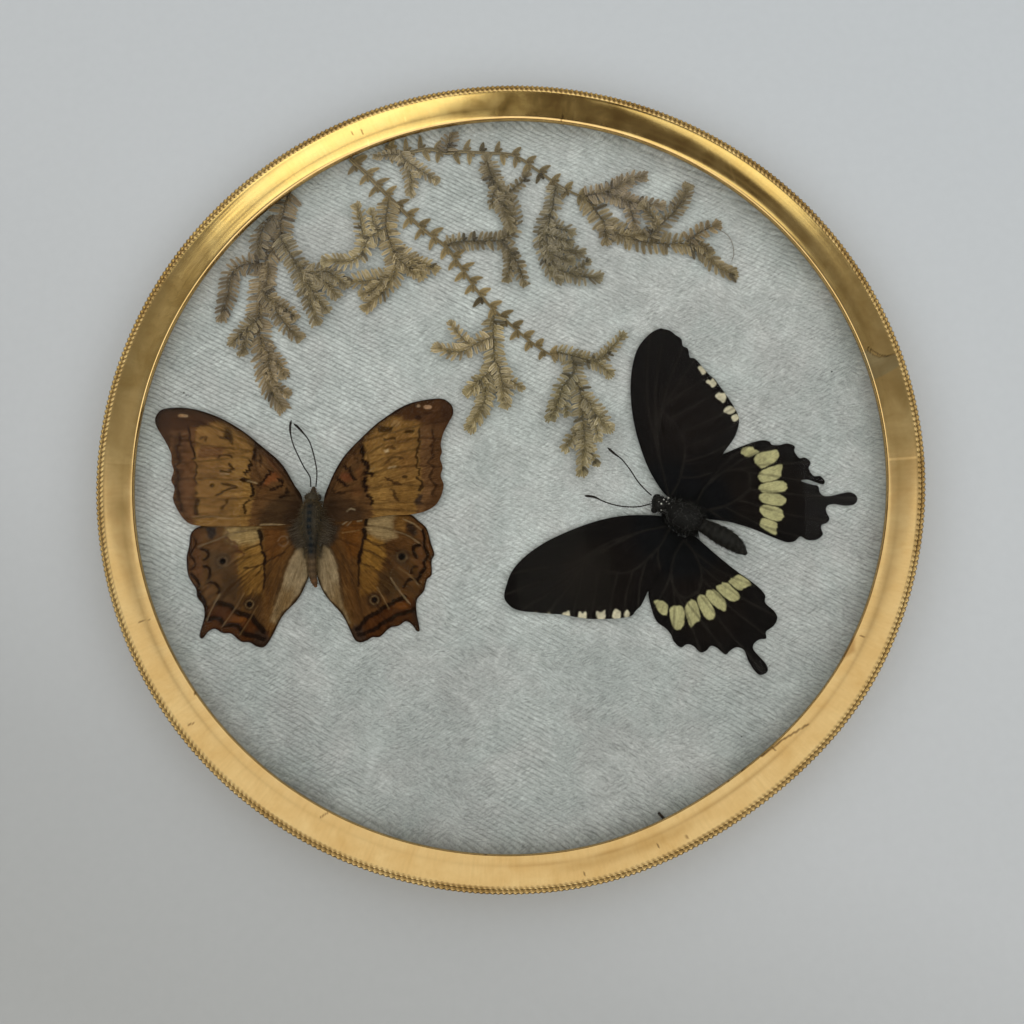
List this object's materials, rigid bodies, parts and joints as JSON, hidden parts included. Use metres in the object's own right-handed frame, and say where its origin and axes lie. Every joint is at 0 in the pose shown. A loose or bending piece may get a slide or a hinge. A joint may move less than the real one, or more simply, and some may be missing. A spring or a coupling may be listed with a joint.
{
  "type": "insect in glass dome",
  "caption": "Round brass frame lying on its back, with two spread butterflies and dried clubmoss sprigs on pale velvet under a shallow domed glass",
  "frame": {"origin": "centre of the rear edge of the frame, which is the centre of the bottom of the bounding box", "axes": "+Z out through the glass, +Y towards the edge from which the sprigs hang, +X to the black butterfly"},
  "size_m": [0.1898, 0.1898, 0.0165],
  "materials": {
    "gilt_metal": "satin",
    "clear_glass": "polished",
    "pale_velvet": "matte",
    "grey_card": "matte",
    "cover_board": "matte",
    "cruiser_wing": "matte",
    "mormon_wing": "matte",
    "insect_fur": "matte",
    "dried_clubmoss": "matte"
  },
  "bodies": {
    "root": {"back_cover": "cover_board", "backing_card": "grey_card", "clubmoss_left_fork": "dried_clubmoss", "clubmoss_left_lower_inner": "dried_clubmoss", "clubmoss_left_lower_outer": "dried_clubmoss", "clubmoss_left_outer": "dried_clubmoss", "clubmoss_left_rim": "dried_clubmoss", "clubmoss_left_stem": "dried_clubmoss", "clubmoss_long_end": "dried_clubmoss", "clubmoss_long_end_lower": "dried_clubmoss", "clubmoss_long_end_lower_left": "dried_clubmoss", "clubmoss_long_end_lower_right": "dried_clubmoss", "clubmoss_long_left": "dried_clubmoss", "clubmoss_long_left_outer": "dried_clubmoss", "clubmoss_long_lower": "dried_clubmoss", "clubmoss_long_lower_left": "dried_clubmoss", "clubmoss_long_lower_right": "dried_clubmoss", "clubmoss_long_right": "dried_clubmoss", "clubmoss_long_stem": "dried_clubmoss", "clubmoss_top_arch_lower": "dried_clubmoss", "clubmoss_top_cross": "dried_clubmoss", "clubmoss_top_drop": "dried_clubmoss", "clubmoss_top_end_upper": "dried_clubmoss", "clubmoss_top_left": "dried_clubmoss", "clubmoss_top_rim": "dried_clubmoss", "clubmoss_top_stem": "dried_clubmoss", "clubmoss_top_upper": "dried_clubmoss", "cruiser_antenna_left": "insect_fur", "cruiser_antenna_right": "insect_fur", "cruiser_body": "insect_fur", "cruiser_forewing_left": "cruiser_wing", "cruiser_forewing_right": "cruiser_wing", "cruiser_hindwing_left": "cruiser_wing", "cruiser_hindwing_right": "cruiser_wing", "glass_dome": "clear_glass", "mormon_antenna_lower": "insect_fur", "mormon_antenna_upper": "insect_fur", "mormon_body": "insect_fur", "mormon_forewing_lower": "mormon_wing", "mormon_forewing_upper": "mormon_wing", "mormon_hindwing_lower": "mormon_wing", "mormon_hindwing_upper": "mormon_wing", "rim": "gilt_metal", "velvet_sheet": "pale_velvet"}
  },
  "joints": []
}
